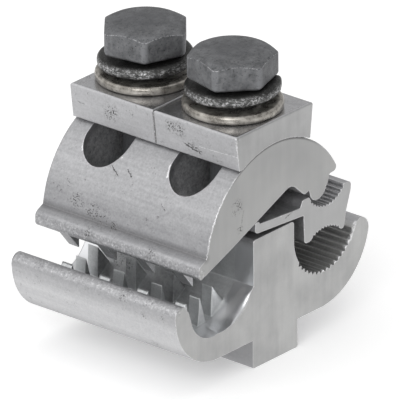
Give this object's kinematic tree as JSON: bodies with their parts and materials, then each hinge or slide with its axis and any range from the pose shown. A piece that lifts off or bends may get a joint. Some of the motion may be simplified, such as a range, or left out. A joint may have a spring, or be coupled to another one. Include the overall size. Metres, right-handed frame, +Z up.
{
  "type": "insulation piercing connector",
  "caption": "Parallel-groove connector: piercing teeth grip an insulated conductor, serrated grooves a bare one, under a rocking keeper, saddles and hex bolts.",
  "frame": {"origin": "middle of the foot's bottom face", "axes": "+Z up along the bolts, +Y along the conductors towards the back end, +X from the piercing groove to the bare groove"},
  "size_m": [0.0624, 0.0459, 0.0674],
  "materials": {
    "extruded_aluminium": "mill finish, scratched",
    "zinc_flake_steel": "matt grey zinc coating",
    "plain_steel": "bright stamped",
    "black_spring_steel": "blackened, grainy rim"
  },
  "bodies": {
    "lower_body": {"lower_body": "extruded_aluminium"},
    "clamp_stack": {"front_saddle": "extruded_aluminium", "back_saddle": "extruded_aluminium", "front_flat_washer": "plain_steel", "back_flat_washer": "plain_steel", "front_spring_washer": "black_spring_steel", "back_spring_washer": "black_spring_steel"},
    "keeper": {"keeper": "extruded_aluminium"},
    "insert": {"insert": "extruded_aluminium"},
    "front_bolt": {"front_bolt": "zinc_flake_steel"},
    "back_bolt": {"back_bolt": "zinc_flake_steel"}
  },
  "joints": [
    {"name": "clamp_opening", "type": "slide", "parent": "lower_body", "child": "clamp_stack", "axis": [0, 0, 1], "range_m": [0, 0.01]},
    {"name": "insert_lift", "type": "slide", "parent": "lower_body", "child": "insert", "axis": [0, 0, 1], "range_m": [0, 0.005]},
    {"name": "front_bolt_turn", "type": "hinge", "parent": "clamp_stack", "child": "front_bolt", "pos_m": [0, -0.0114, 0.0608], "axis": [0, 0, 1], "range_deg": [0, 2400]},
    {"name": "back_bolt_turn", "type": "hinge", "parent": "clamp_stack", "child": "back_bolt", "pos_m": [0, 0.0125, 0.0608], "axis": [0, 0, 1], "range_deg": [0, 2400]},
    {"name": "keeper_tilt", "type": "hinge", "parent": "clamp_stack", "child": "keeper", "pos_m": [0.0004, 0, 0.0267], "axis": [0, 1, 0], "range_deg": [0, 5]}
  ],
  "couplings": [
    {"joint": "front_bolt_turn", "follows": "clamp_opening", "rad_per_m": 4188},
    {"joint": "back_bolt_turn", "follows": "clamp_opening", "rad_per_m": 4188},
    {"joint": "insert_lift", "follows": "clamp_opening", "ratio": 0.5}
  ]
}
